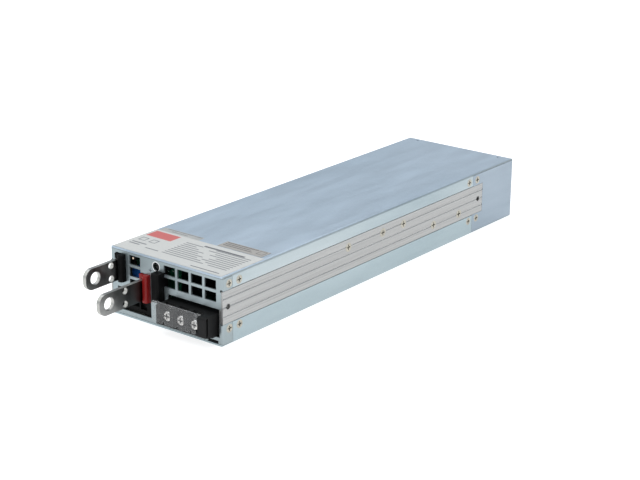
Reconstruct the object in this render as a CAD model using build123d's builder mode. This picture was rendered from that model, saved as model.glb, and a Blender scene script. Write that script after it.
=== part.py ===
from build123d import *
from math import cos, radians, sin, sqrt
import os

# Slim switching power supply. Millimetres, +Z up, X across, front panel at -Y.
# The origin is the middle of the underside.

# Case
LENGTH = 300.0
WIDTH = 85.0
HEIGHT = 41.0
SHEET = 1.0
EDGE_BEND = 1.5
REAR_BEND = 2.2
REAR_LIP = 0.4
REAR_DIMPLE = 1.6
REAR_DIMPLE_IN = 9.5
REAR_DIMPLE_BACK = 4.8
SEAM = 0.2
FRONT_TAB = 8.1
CHEEK = 49.5
TOP_FLANGE = 8.4
BOTTOM_FLANGE = 13.0

# What is inside and the panel's openings keep their share of the case
LONG = LENGTH / 300.0
WIDE = WIDTH / 85.0
TALL = HEIGHT / 41.0
ROUND = min(LONG, WIDE)

FRONT = -LENGTH / 2
REAR = LENGTH / 2
SIDE = WIDTH / 2
INNER_SIDE = SIDE - SHEET
CEILING = HEIGHT - SHEET

# Side heatsinks, an extrusion whose band shows between the flanges
SINK_UNDER_CHEEK = 11.5
SINK_LENGTH = LENGTH - CHEEK + SINK_UNDER_CHEEK
SINK_WALL = 3.0
SINK_FOOT = 3.0
SINK_HEAD = 3.5
GROOVE_PITCH = 5.2
GROOVE_DEPTH = 0.4
GROOVE_MIDDLE = (BOTTOM_FLANGE + HEIGHT - TOP_FLANGE) / 2
GROOVE_STOP = 0.7
SINK_LIP = 1.8
MOUNT_THREAD = 3.3
MOUNT_DEPTHS = (4.5, SINK_LENGTH - 5.2)

BAND_LOW = BOTTOM_FLANGE
BAND_HIGH = HEIGHT - TOP_FLANGE
SINK_INNER = INNER_SIDE - SINK_WALL

# Screws
CASE_SHANK = 3.0
CASE_SCREW_LENGTH = 4.4
CASE_SCREW_DEPTHS = (FRONT_TAB - 2.6, FRONT_TAB + 5.9, LENGTH - CHEEK - 4.5, LENGTH - CHEEK + 5.0)
CASE_SCREW_HEIGHTS = (BOTTOM_FLANGE - 3.3, HEIGHT - TOP_FLANGE + 3.5)
CLAMP_HEAD = 5.6
CASE_HEAD = CASE_SHANK + 2 * SHEET
CLAMP_ROW_HIGH = GROOVE_MIDDLE + 4.6
CLAMP_ROW_LOW = GROOVE_MIDDLE - 4.9
CLAMP_SCREWS = [(LONG * back, CLAMP_ROW_HIGH) for back in (114.3, 149.4, 171.2)]
CLAMP_SCREWS += [(LONG * back, CLAMP_ROW_LOW) for back in (204.9, 234.1)]
CROSS_WIDE = 0.7
CROSS_REACH = 0.62
CROSS_DEEP = 0.6
HOLE_CLEARANCE = 0.1

# Main board and its standoffs
BOARD = 1.6
BOARD_LOW = 5.0
BOARD_FRONT = 4.0
BOARD_REAR = SINK_LENGTH + 6.0
BOARD_GAP = 1.2
STANDOFF = 5.4
STANDOFF_STUD = 4.0
BOARD_SCREW = 2.6
BOARD_SCREW_HEAD = 5.0
BOARD_SCREW_LENGTH = 4.0
STANDOFF_DEPTHS = (LONG * 26.0, LONG * 132.0, BOARD_REAR - 6.0)
STANDOFF_SIDE = SINK_INNER - 5.0
INSULATION = 0.4

BOARD_TOP = BOARD_LOW + BOARD

# Front panel openings
VENT_WIDE = WIDE * 8.4
VENT_TALL = TALL * 5.5
VENT_PITCH_X = WIDE * 10.1
VENT_PITCH_Z = TALL * 7.2
VENT_RIGHT_X = WIDE * 18.4
VENT_RIGHT_Z = HEIGHT - TALL * 9.1
VENT_LEFT_X = WIDE * -23.4
VENT_LEFT_Z = HEIGHT - TALL * 12.5
TRIMMER_X = WIDE * -6.9
TRIMMER_Z = HEIGHT - TALL * 5.0
TRIMMER_HOLE = 5.0
SIGNAL_LEFT = WIDE * -37.4
SIGNAL_RIGHT = WIDE * -11.4
SIGNAL_LOW = 3.8
SIGNAL_HIGH = TALL * 17.6
PANEL_FIT = 0.12
WINDOW_WEB = 1.6
DRAIN_LEFT = WIDE * 31.4
DRAIN_RIGHT = WIDE * 39.0
DRAIN_HIGH = 3.0
BLOCK_HEADROOM = 2.9
NOTCH_RELIEF = 0.8

# Output busbars, flat plates on edge
BAR_THICK = 2.4
BAR_TALL = 12.6
BAR_HOLE = 7.2
BAR_HOLE_BACK = 7.5
BAR_PIN_HOLE = 4.0
BAR_PINS_BACK = 20.0
BAR_PIN_PITCH = 7.9
BAR_CORNER = 5.2
BAR_INSIDE = 11.0
BAR_LEG = 6.0
BAR_RIM = 0.3
NEGATIVE_X = WIDE * -35.0
NEGATIVE_Z = HEIGHT - TALL * 12.8
NEGATIVE_REACH = 27.4
POSITIVE_X = WIDE * -16.0
POSITIVE_Z = HEIGHT - TALL * 21.0
POSITIVE_REACH = 36.1

# Plastic bushings beside the busbars
RIB_WIDE = 4.3
RIB_PROUD = 3.4
RIB_BELOW = 0.3
RIB_ABOVE = 3.4
RIB_ROUND = 0.3
LEDGE_PROUD = 1.0
LEDGE_LEFT = 0.9
FLANGE = 1.6
FLANGE_EDGE = 1.0
FIT = 0.1

# Upright insulating wall between the outputs and the input terminals
DIVIDER_LEFT = WIDE * -6.6
DIVIDER_RIGHT = WIDE * -0.9
DIVIDER_LOW = TALL * 17.0
DIVIDER_HIGH = HEIGHT - TALL * 7.4
DIVIDER_PROUD = 5.6
FOOT_THICK = 2.0
FOOT_LOW = 3.4
POSITIVE_FOOT = 4.0

# Input terminal block
POLES = 3
POLE_PITCH = WIDE * 10.2
BARRIER = 2.6
BLOCK_LEFT = WIDE * 1.8
END_WALL = WIDE * 5.2
BLOCK_LOW = 5.2
BLOCK_HIGH = TALL * 18.8
BARRIER_LOW = 6.8
BARRIER_PROUD = 10.0
FACE_PROUD = 3.5
BLOCK_INSIDE = 12.0
SHELF_LOW = 5.8
SHELF_HIGH = 7.6
SHELF_PROUD = 7.4
CONTACT = 0.8
CLAMP = 1.0
TERMINAL_HEAD = 5.8
TERMINAL_HEAD_TALL = 3.0
TERMINAL_SHANK = 3.4
TERMINAL_SCREW_Z = TALL * 12.3

BLOCK_GROOVE = 1.5
GROOVE_BACK = 1.7
GROOVE_IN = 1.2

POCKET = POLE_PITCH - BARRIER
POCKET_GAP = 0.3
BLOCK_RIGHT = BLOCK_LEFT + POLES * POLE_PITCH + END_WALL

# Clear cover that swings up in front of the terminals
HINGE_PROUD = 8.2
HINGE_Z = BLOCK_HIGH - 1.0
HINGE_PIN = 0.8
HINGE_CLEARANCE = 0.08
COVER_GAP = 0.6
COVER_WALL = 0.9
COVER_LOW = TALL * 8.6
COVER_ARM = 2.0
COVER_BEAD = 0.9
ARM_GAP = 0.4

# Voltage trimmer behind its hole in the panel
TRIMMER_HALF = 3.2
TRIMMER_FACE = 3.4
ROTOR = 3.8
ROTOR_TALL = 1.7
ROTOR_SLOT = 0.8
ROTOR_PIN = 1.6
ROTOR_PIN_LONG = 2.1

# Fans at the rear
FAN_SIZE = min(WIDE, TALL) * 38.0
FAN_DEPTH = 28.0
FAN_BORE = FAN_SIZE - 2.0
FAN_X = WIDE * 20.2
FAN_SCREW_PITCH = FAN_SIZE - 8.0
FAN_SCREW_HEAD = 4.4
FAN_SCREW_SHANK = 2.8
FAN_CORNER = 3.0
FAN_EDGE = 0.6
FAN_GAP = 0.05
FAN_SCREW_LENGTH = 8.0
HUB_DIAMETER = FAN_SIZE / 2
TIP_GAP = 0.5
BLADES = 7
BLADE_THICK = 0.9
BLADE_CAMBER = 1.6
ROOT_CHORD = 0.34 * FAN_SIZE
TIP_CHORD = 0.395 * FAN_SIZE
ROOT_PITCH = 52.0
TIP_PITCH = 36.0
SHAFT = 3.0
SHAFT_CLEARANCE = 0.05
MOTOR_PLATE = 2.5

FAN_Z = HEIGHT / 2
FAN_REAR = REAR - SHEET - FAN_GAP

# Stamped finger guard in the rear wall
GUARD_HUB = 0.139 * FAN_BORE
GUARD_RING = 0.042 * FAN_BORE
GUARD_SLOT = 0.081 * FAN_BORE
GUARD_RINGS = 3
GUARD_SPOKE = 2.0
GUARD_SPOKES = 4

# Signal connector behind the lower left window
HEADER_LEFT = WIDE * -36.4
HEADER_LOW = 4.2
HEADER_FACE = 1.4
HEADER_GAP = 0.4
HEADER_POCKET = 8.0
HEADER_TALL = TALL * 9.4
HEADER_WALL = 0.9
SIGNAL_PINS = 10
SIGNAL_PIN = 0.6
SIGNAL_PIN_PITCH = 2.0
SIGNAL_ROW_PITCH = 3.0
PIN_BACK = 1.4

# Parts on the boards
UPRIGHT_DEPTH = 12.0
UPRIGHT_LEFT = WIDE * -33.5
UPRIGHT_RIGHT = 0.0
UPRIGHT_LOW = TALL * 17.5
UPRIGHT_HIGH = CEILING - 1.2
CAN_DIAMETER = ROUND * 30.0
CAN_TALL = TALL * 31.0
CAN_BEVEL = 0.04
CASE_BEVEL = 0.5
COIL_BEVEL = 0.8
OUTPUT_CAN = ROUND * 10.0
OUTPUT_CAN_TALL = TALL * 20.0
WIRE = 1.4
WINDING_GAP = 0.7
FUSE = 5.2
FUSE_LONG = 20.0
FUSE_LEFT = WIDE * 8.0
FUSE_BACK = 20.0
FUSE_LIFT = 4.6
PACKAGE_WIDE = LONG * 15.6
PACKAGE_TALL = TALL * 17.6
PACKAGE = 4.8
LEAD_PITCH = 5.4
LEAD_LIFT = 1.0
CLAMP_BAR = 2.0
CLAMP_BAR_LONG = 12.0
CLAMP_BAR_TALL = 7.0

# Labels on the top
LABEL_EDGE = 1.4
LABEL_FAR = 37.4
LABEL_FRONT = 0.6
LABEL_THICK = 0.15
SMALL_LABEL_LEFT = WIDE * 5.5
SMALL_LABEL_RIGHT = WIDE * 38.0
SMALL_LABEL_GAP = 0.8
SMALL_LABEL_LONG = 9.0

# Places and sizes of parts on the main board in the usual case: X, depth, and then
# width, length and height of the boxes
LINE_CHOKES = ((19.0, 46.0), (19.0, 75.0))
BOOST_CHOKE = ((13.0, 146.0),)
BULK_CANS = ((-15.6, 206.0), (-15.6, 238.0), (15.6, 206.0), (15.6, 238.0))
OUTPUT_CANS = tuple((x, back) for x in (-30.0, -19.0, -8.0) for back in (36.0, 48.0, 60.0))
FILM_CAPACITORS = ((13.0, 97.0, 16.0, 7.0, 14.0), (23.0, 27.6, 13.0, 5.0, 12.0))
RECTIFIER = ((20.0, 112.0, 20.0, 5.0, 20.0),)
OUTPUT_CHOKES = ((-24.0, 82.0, 18.0, 18.0, 16.0), (-8.0, 82.0, 10.0, 18.0, 14.0))
RESONANT_CHOKE = ((-16.4, 112.0, 24.0, 20.0, 22.0),)
RELAY = ((20.0, 178.0, 12.0, 8.0, 15.0),)

# Ring cores: outer radius, inner radius and height
LINE_CORE = (ROUND * 12.0, ROUND * 6.0, TALL * 14.0)
BOOST_CORE = (ROUND * 15.0, ROUND * 7.0, TALL * 22.0)


def depth(value):
    """Turn a distance behind the front panel's face into a Y position."""
    return FRONT + value


def across(y):
    """Upright plane across the case at y, as the front view shows it."""
    return Plane.XZ.offset(-y)


def side_place(side, y, z):
    """Place on the outer side face, looking outward; side is -1 or 1."""
    return Plane(origin=(side * SIDE, y, z), z_dir=(side, 0, 0))


def save(part, label):
    """Name a finished piece and write it."""
    part.label = label
    export_step(part, f"parts/{label}.step")


def copies(part, places):
    """Return one group holding a copy of the part at every place."""
    with BuildPart() as group:
        with Locations(*places):
            add(part)
    return group.part


def mirrored(part, about=Plane.YZ):
    """Return the part as its mirror image."""
    with BuildPart() as image:
        mirror(part, about=about)
    return image.part


def case_screw_places():
    return [
        side_place(side, depth(back), z)
        for side in (-1, 1)
        for back in CASE_SCREW_DEPTHS
        for z in CASE_SCREW_HEIGHTS
    ]


def clamp_screw_places(side):
    return [side_place(side, depth(back), z) for back, z in CLAMP_SCREWS]


def make_flat_screw(head, shank, length):
    """Countersunk screw whose head lies on the XY plane and points down."""
    sink = (head - shank) / 2
    with BuildPart() as screw:
        with BuildSketch(Plane.XZ):
            with BuildLine():
                neck, foot = (shank / 2, -sink), (shank / 2, -length)
                Polyline((0, 0), (head / 2, 0), neck, foot, (0, -length), close=True)
            make_face()
        revolve(axis=Axis.Z)
        with Locations((0, 0, 0)):
            Box(head * CROSS_REACH, CROSS_WIDE, 2 * CROSS_DEEP, mode=Mode.SUBTRACT)
            Box(CROSS_WIDE, head * CROSS_REACH, 2 * CROSS_DEEP, mode=Mode.SUBTRACT)
    return screw.part


def cut_case_screw_holes():
    with Locations(*case_screw_places()):
        CounterSinkHole((CASE_SHANK + HOLE_CLEARANCE) / 2, (CASE_HEAD + HOLE_CLEARANCE) / 2, 6.0, 90)


def make_envelope(near, far, corners):
    """Outer limits of the top sheet between two Y positions, with rounded edges and corners."""
    with BuildPart() as envelope:
        with BuildSketch(across(near)) as section:
            rect(-SIDE, SIDE, 0, HEIGHT)
            fillet(section.vertices().group_by(Axis.Y)[-1], EDGE_BEND)
        extrude(amount=-(far - near))
        with BuildSketch() as plan:
            rect(-SIDE, SIDE, near, far)
            fillet(plan.vertices().group_by(Axis.Y)[corners], EDGE_BEND)
        extrude(amount=HEIGHT, mode=Mode.INTERSECT)
    return envelope.part


def make_front_edge(far):
    """Flat front edge of the sheet, over the folded front panel."""
    with BuildPart() as edge:
        with BuildSketch(Plane.XY.offset(CEILING)):
            rect(-SIDE, SIDE, FRONT, far)
        extrude(amount=SHEET)
        add(make_envelope(FRONT, far, 0), mode=Mode.INTERSECT)
    return edge.part


def make_rear_roll(near):
    """Rear end of the sheet, over the cheeks and rolled down over the rear wall."""
    with BuildPart() as rear:
        with BuildSketch(Plane.YZ.offset(-SIDE)) as roll:
            rect(near, REAR, CEILING, HEIGHT)
            rect(REAR - SHEET, REAR, HEIGHT - REAR_BEND - REAR_LIP, HEIGHT)
            fillet(roll.vertices().sort_by_distance((REAR, HEIGHT))[0], REAR_BEND)
            fillet(roll.vertices().sort_by_distance((REAR - SHEET, CEILING))[0], REAR_BEND - SHEET)
        extrude(amount=WIDTH)
        add(make_envelope(near, REAR, -1), mode=Mode.INTERSECT)
        dimple = SIDE - REAR_DIMPLE_IN
        with Locations(*[(x, REAR - REAR_DIMPLE_BACK, HEIGHT) for x in (-dimple, dimple)]):
            Hole(REAR_DIMPLE / 2, 2 * SHEET)
    return rear.part


def make_shell(flange):
    """Top sheet with both sides folded down and its rear edge rolled over."""
    seam_front = depth(FRONT_TAB) + SEAM
    seam_rear = REAR - CHEEK - SEAM
    with BuildPart() as shell:
        with BuildSketch(across(seam_front)) as section:
            with Locations((0, HEIGHT)):
                Rectangle(WIDTH, flange - SEAM, align=(Align.CENTER, Align.MAX))
            fillet(section.vertices().group_by(Axis.Y)[-1], EDGE_BEND)
            with Locations((0, CEILING)):
                Rectangle(WIDTH - 2 * SHEET, flange, align=(Align.CENTER, Align.MAX), mode=Mode.SUBTRACT)
        extrude(amount=-(seam_rear - seam_front))
        add(make_front_edge(seam_front))
        add(make_rear_roll(seam_rear))
    return shell.part


def make_top():
    with BuildPart() as top:
        add(make_shell(TOP_FLANGE))
        cut_case_screw_holes()
    return top.part


def make_bottom():
    """The same folded sheet upside down, with holes for the standoffs."""
    floor = mirrored(make_shell(BOTTOM_FLANGE), Plane.XY.offset(HEIGHT / 2))
    with BuildPart() as bottom:
        add(floor)
        cut_case_screw_holes()
        with Locations(*standoff_places(0)):
            Cylinder(STANDOFF_STUD / 2, 4 * SHEET, mode=Mode.SUBTRACT)
    return bottom.part


def panel_openings():
    """Sketch every opening of the front panel; call it inside a sketch on the panel."""
    with Locations((VENT_RIGHT_X, VENT_RIGHT_Z)):
        with GridLocations(VENT_PITCH_X, VENT_PITCH_Z, 4, 2):
            Rectangle(VENT_WIDE, VENT_TALL)
    with Locations((VENT_LEFT_X, VENT_LEFT_Z)):
        with GridLocations(VENT_PITCH_X, VENT_PITCH_Z, 1, 3):
            Rectangle(VENT_WIDE, VENT_TALL)
    with Locations((TRIMMER_X, TRIMMER_Z)):
        Circle(TRIMMER_HOLE / 2)
    for bar_x, bar_z in ((NEGATIVE_X, NEGATIVE_Z), (POSITIVE_X, POSITIVE_Z)):
        left, right, low, high = bushing_box(bar_x, bar_z)
        rect(left - PANEL_FIT, right + PANEL_FIT, low - PANEL_FIT, high + PANEL_FIT)
    bushing_left = bushing_box(POSITIVE_X, POSITIVE_Z)[0]
    rect(SIGNAL_LEFT, bushing_left - WINDOW_WEB, SIGNAL_LOW, SIGNAL_HIGH)
    rect(SIGNAL_LEFT, SIGNAL_RIGHT, SIGNAL_LOW, POSITIVE_Z - BAR_TALL / 2)
    left, right = DIVIDER_LEFT - PANEL_FIT, DIVIDER_RIGHT + PANEL_FIT
    rect(left, right, DIVIDER_LOW - PANEL_FIT, DIVIDER_HIGH + PANEL_FIT)
    rect(BLOCK_LEFT - SEAM, INNER_SIDE - EDGE_BEND, BLOCK_LOW - SEAM, BLOCK_HIGH + BLOCK_HEADROOM)
    rect(BLOCK_LEFT - SEAM, INNER_SIDE, BAND_LOW, BLOCK_HIGH + BLOCK_HEADROOM)
    rect(DRAIN_LEFT, DRAIN_RIGHT, SHEET, DRAIN_HIGH)


def rect(left, right, low, high, mode=Mode.ADD):
    """Rectangle between four limits of the current sketch."""
    with Locations(((left + right) / 2, (low + high) / 2)):
        Rectangle(right - left, high - low, mode=mode)


def box(left, right, near, far, low, high, mode=Mode.ADD):
    """Box between six limits: X, then depth behind the front face, then Z."""
    with Locations(((left + right) / 2, depth((near + far) / 2), (low + high) / 2)):
        Box(right - left, far - near, high - low, mode=mode)


def make_front_panel():
    """Front sheet, folded back at both sides and open where the heatsinks come through."""
    low = SHEET + SEAM
    with BuildPart() as panel:
        with BuildSketch(Plane.XY.offset(low)) as plan:
            with Locations((0, FRONT)):
                Rectangle(WIDTH, FRONT_TAB, align=(Align.CENTER, Align.MIN))
            fillet(plan.vertices().group_by(Axis.Y)[0], EDGE_BEND)
            with Locations((0, FRONT + SHEET)):
                Rectangle(WIDTH - 2 * SHEET, FRONT_TAB, align=(Align.CENTER, Align.MIN), mode=Mode.SUBTRACT)
            fillet(plan.vertices().group_by(Axis.Y)[1], EDGE_BEND - SHEET)
        extrude(amount=HEIGHT - 2 * low)
        with BuildSketch(across(FRONT)):
            for side in (-1, 1):
                inner, outer = sorted((side * (INNER_SIDE - SEAM), side * SIDE))
                rect(inner, outer, BAND_LOW, BAND_HIGH)
                corner = inner if side > 0 else outer
                with Locations((corner, BAND_LOW), (corner, BAND_HIGH)):
                    Circle(NOTCH_RELIEF)
        extrude(amount=-FRONT_TAB, mode=Mode.SUBTRACT)
        with BuildSketch(across(FRONT)):
            panel_openings()
        extrude(amount=-SHEET, mode=Mode.SUBTRACT)
        cut_case_screw_holes()
    return panel.part


def make_guard_cutter():
    """Solid that stamps one finger guard, centred on the origin and facing +Z."""
    with BuildPart() as cutter:
        with BuildSketch():
            for ring in reversed(range(GUARD_RINGS)):
                inner = GUARD_HUB + ring * (GUARD_RING + GUARD_SLOT)
                Circle(inner + GUARD_SLOT)
                Circle(inner, mode=Mode.SUBTRACT)
            with PolarLocations(0, GUARD_SPOKES, 45):
                with Locations((FAN_BORE / 4, 0)):
                    Rectangle(FAN_BORE / 2, GUARD_SPOKE, mode=Mode.SUBTRACT)
        extrude(amount=2 * SHEET, both=True)
    return cutter.part


def fan_places(y):
    """Fan axes at y, looking out of the rear."""
    return [Plane(origin=(side * FAN_X, y, FAN_Z), z_dir=(0, 1, 0), x_dir=(1, 0, 0)) for side in (-1, 1)]


def make_rear_shell():
    """Rear wall with two stamped finger guards, folded forward into the side cheeks."""
    low = SHEET + SEAM
    lip = REAR_BEND + REAR_LIP + SEAM
    cutter = make_guard_cutter()
    front = REAR - CHEEK
    with BuildPart() as shell:
        with BuildSketch(Plane.XY.offset(low)) as plan:
            with Locations((0, REAR)):
                Rectangle(WIDTH, CHEEK, align=(Align.CENTER, Align.MAX))
            fillet(plan.vertices().group_by(Axis.Y)[-1], EDGE_BEND)
            with Locations((0, REAR - SHEET)):
                Rectangle(WIDTH - 2 * SHEET, CHEEK, align=(Align.CENTER, Align.MAX), mode=Mode.SUBTRACT)
            fillet(plan.vertices().group_by(Axis.Y)[-2], EDGE_BEND - SHEET)
        extrude(amount=HEIGHT - 2 * low)
        with BuildSketch(Plane.YZ.offset(-SIDE)) as outline:
            rect(front, REAR - low, low, HEIGHT - low)
            fillet(outline.vertices().group_by(Axis.X)[-1], REAR_BEND - low)
            rect(front, REAR, lip, HEIGHT - lip)
        extrude(amount=WIDTH, mode=Mode.INTERSECT)
        box(-SIDE, SIDE, LENGTH - CHEEK, SINK_LENGTH + SEAM, BAND_LOW, BAND_HIGH, Mode.SUBTRACT)
        with Locations(*fan_places(REAR)):
            add(cutter, mode=Mode.SUBTRACT)
            with GridLocations(FAN_SCREW_PITCH, FAN_SCREW_PITCH, 2, 2):
                hole = (FAN_SCREW_SHANK + HOLE_CLEARANCE) / 2
                CounterSinkHole(hole, (FAN_SCREW_HEAD + HOLE_CLEARANCE) / 2, 3.0, 90)
        cut_case_screw_holes()
    return shell.part


def make_heatsink():
    """Right-hand extrusion: grooved outer band, back plate and clamping foot."""
    band_near = SIDE
    with BuildPart() as sink:
        with BuildSketch(across(depth(0))) as section:
            rect(SINK_INNER, INNER_SIDE, SINK_FOOT + SHEET, HEIGHT - SINK_HEAD)
            rect(INNER_SIDE, band_near, BAND_LOW + SEAM, BAND_HIGH - SEAM)
            rect(SINK_INNER - SINK_LIP, SINK_INNER, HEIGHT - SINK_HEAD - SINK_LIP, HEIGHT - SINK_HEAD)
            with Locations((SIDE, GROOVE_MIDDLE)):
                with GridLocations(1, GROOVE_PITCH, 1, 3):
                    Rectangle(GROOVE_DEPTH * sqrt(2), GROOVE_DEPTH * sqrt(2), rotation=45, mode=Mode.SUBTRACT)
        extrude(amount=-SINK_LENGTH)
        box(SINK_INNER - SINK_LIP, INNER_SIDE, 0, EDGE_BEND, 0, HEIGHT, Mode.SUBTRACT)
        box(SINK_INNER - SINK_LIP, SINK_INNER, 0, SHEET + FLANGE + SINK_LIP, 0, HEIGHT, Mode.SUBTRACT)
        with Locations(side_place(1, depth(SINK_LENGTH - GROOVE_STOP), GROOVE_MIDDLE)):
            with GridLocations(GROOVE_PITCH, 1, 3, 1):
                Hole(GROOVE_STOP, SHEET)
        with Locations(*[side_place(1, depth(back), GROOVE_MIDDLE) for back in MOUNT_DEPTHS]):
            Hole(MOUNT_THREAD / 2, 6)
        with Locations(*clamp_screw_places(1)):
            CounterSinkHole((CASE_SHANK + HOLE_CLEARANCE) / 2, (CLAMP_HEAD + HOLE_CLEARANCE) / 2, 6.0, 90)
        with Locations(*[p for p in case_screw_places() if p.origin.X > 0]):
            Hole((CASE_SHANK + HOLE_CLEARANCE) / 2, 6)
    return sink.part


def standoff_places(z):
    return [(side * STANDOFF_SIDE, depth(back), z) for side in (-1, 1) for back in STANDOFF_DEPTHS]


def make_standoffs():
    """Hexagonal posts pressed into the floor."""
    with BuildPart() as post:
        with BuildSketch(Plane.XY):
            RegularPolygon(STANDOFF / 2, 6)
        extrude(amount=BOARD_LOW - SHEET)
        Cylinder(STANDOFF_STUD / 2, SHEET, align=(Align.CENTER, Align.CENTER, Align.MAX))
        Hole(BOARD_SCREW / 2, BOARD_LOW)
    return copies(post.part, [Location(place) for place in standoff_places(SHEET)])


def make_board_screws():
    """Pan-head screws down through the board into the posts."""
    with BuildPart() as screws:
        with Locations(*standoff_places(BOARD_TOP)):
            Cylinder(BOARD_SCREW_HEAD / 2, 1.8, align=(Align.CENTER, Align.CENTER, Align.MIN))
            Cylinder(BOARD_SCREW / 2, BOARD_SCREW_LENGTH, align=(Align.CENTER, Align.CENTER, Align.MAX))
    return screws.part


def make_main_board():
    half = SINK_INNER - BOARD_GAP
    with BuildPart() as board:
        box(-half, half, BOARD_FRONT, BOARD_REAR, BOARD_LOW, BOARD_TOP)
        with Locations(*standoff_places(BOARD_LOW)):
            Cylinder(BOARD_SCREW / 2 + HOLE_CLEARANCE, 4 * BOARD, mode=Mode.SUBTRACT)
    return board.part


def make_insulation():
    """Thin sheet on the floor under the board."""
    half = SINK_INNER - BOARD_GAP
    with BuildPart() as sheet:
        box(-half, half, BOARD_FRONT, BOARD_REAR, SHEET, SHEET + INSULATION)
        with Locations(*standoff_places(SHEET)):
            Cylinder(STANDOFF / 2 + 0.6, 4, mode=Mode.SUBTRACT)
    return sheet.part


def make_busbar(face_x, middle, reach):
    """Plate on edge with a rounded tip, a bolt hole and two pin holes, and a leg to the board."""
    low = middle - BAR_TALL / 2
    tip = depth(-reach)
    with BuildPart() as bar:
        with BuildSketch(Plane.YZ.offset(face_x - BAR_THICK)) as side_view:
            rect(tip, depth(BAR_INSIDE), low, low + BAR_TALL)
            fillet(side_view.vertices().group_by(Axis.X)[0], BAR_CORNER)
            rect(depth(BAR_INSIDE - BAR_LEG), depth(BAR_INSIDE), BOARD_TOP, low + BAR_TALL)
            with Locations((tip + BAR_HOLE_BACK, middle)):
                Circle(BAR_HOLE / 2, mode=Mode.SUBTRACT)
            with Locations((tip + BAR_PINS_BACK, middle)):
                with GridLocations(1, BAR_PIN_PITCH, 1, 2):
                    Circle(BAR_PIN_HOLE / 2, mode=Mode.SUBTRACT)
        extrude(amount=BAR_THICK)
        rims = bar.edges().filter_by(GeomType.CIRCLE)
        chamfer(rims.filter_by(lambda edge: edge.radius == BAR_HOLE / 2), BAR_RIM)
    return bar.part


def bushing_box(bar_x, bar_z):
    """Limits in X and Z of a bushing's front, for the busbar whose right face is at bar_x."""
    low = bar_z - BAR_TALL / 2 - RIB_BELOW
    high = bar_z + BAR_TALL / 2 + RIB_ABOVE
    return bar_x - BAR_THICK - LEDGE_LEFT, bar_x + FIT + RIB_WIDE, low, high


def make_bushing(bar_x, bar_z):
    """Moulding with a rounded upright rib, a ledge over the busbar and a flange behind the panel."""
    left, right, low, high = bushing_box(bar_x, bar_z)
    over_bar = bar_z + BAR_TALL / 2 + FIT
    rib_left = bar_x + FIT
    with BuildPart() as bushing:
        with BuildSketch(Plane.XY.offset(low)) as plan:
            with Locations(((rib_left + right) / 2, depth(SHEET))):
                Rectangle(RIB_WIDE, RIB_PROUD + SHEET, align=(Align.CENTER, Align.MAX))
            fillet(plan.vertices().group_by(Axis.Y)[0], RIB_WIDE / 2 - RIB_ROUND)
        extrude(amount=high - low)
        chamfer(bushing.faces().sort_by(Axis.Z)[-1].edges().sort_by(Axis.Y)[0:3], 0.5)
        box(left, rib_left + 0.5, -LEDGE_PROUD, SHEET, over_bar, high - 0.4)
        flange_left = left + LEDGE_LEFT - 0.6
        box(flange_left, right + 0.3, SHEET, SHEET + FLANGE, low - FLANGE_EDGE, high + FLANGE_EDGE)
        bar_low = bar_z - BAR_TALL / 2 - FIT
        box(bar_x - BAR_THICK - FIT, bar_x + FIT, 0, 2 * FLANGE + SHEET, bar_low, over_bar, Mode.SUBTRACT)
    return bushing.part


def divider_foot_left():
    return POSITIVE_X + 0.4


def make_divider():
    """Upright wall in front of the panel with a flange and a foot behind it."""
    foot_left = divider_foot_left()
    with BuildPart() as divider:
        with BuildSketch(Plane.XY.offset(DIVIDER_LOW)) as plan:
            rect(DIVIDER_LEFT, DIVIDER_RIGHT, depth(-DIVIDER_PROUD), depth(SHEET))
            chamfer(plan.vertices().group_by(Axis.Y)[0], 1.0)
        extrude(amount=DIVIDER_HIGH - DIVIDER_LOW)
        fillet(divider.faces().sort_by(Axis.Z)[-1].edges().group_by(Axis.Y)[0], 0.8)
        behind = SHEET + FOOT_THICK
        box(POSITIVE_X + RIB_WIDE + 0.8, DIVIDER_RIGHT, SHEET, behind, FOOT_LOW, DIVIDER_HIGH)
        box(foot_left, DIVIDER_RIGHT, SHEET, behind, FOOT_LOW, POSITIVE_Z - BAR_TALL / 2 - 1.8)
    return divider.part


def barrier_outline():
    """Side outline of one barrier with a rounded top and a stepped foot."""
    rect(depth(-BARRIER_PROUD), depth(-FACE_PROUD), BARRIER_LOW, BLOCK_HIGH)


def pole_x(pole):
    """Middle of a terminal pocket, counted from the left."""
    return BLOCK_LEFT + BARRIER + POCKET / 2 + pole * POLE_PITCH


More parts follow.
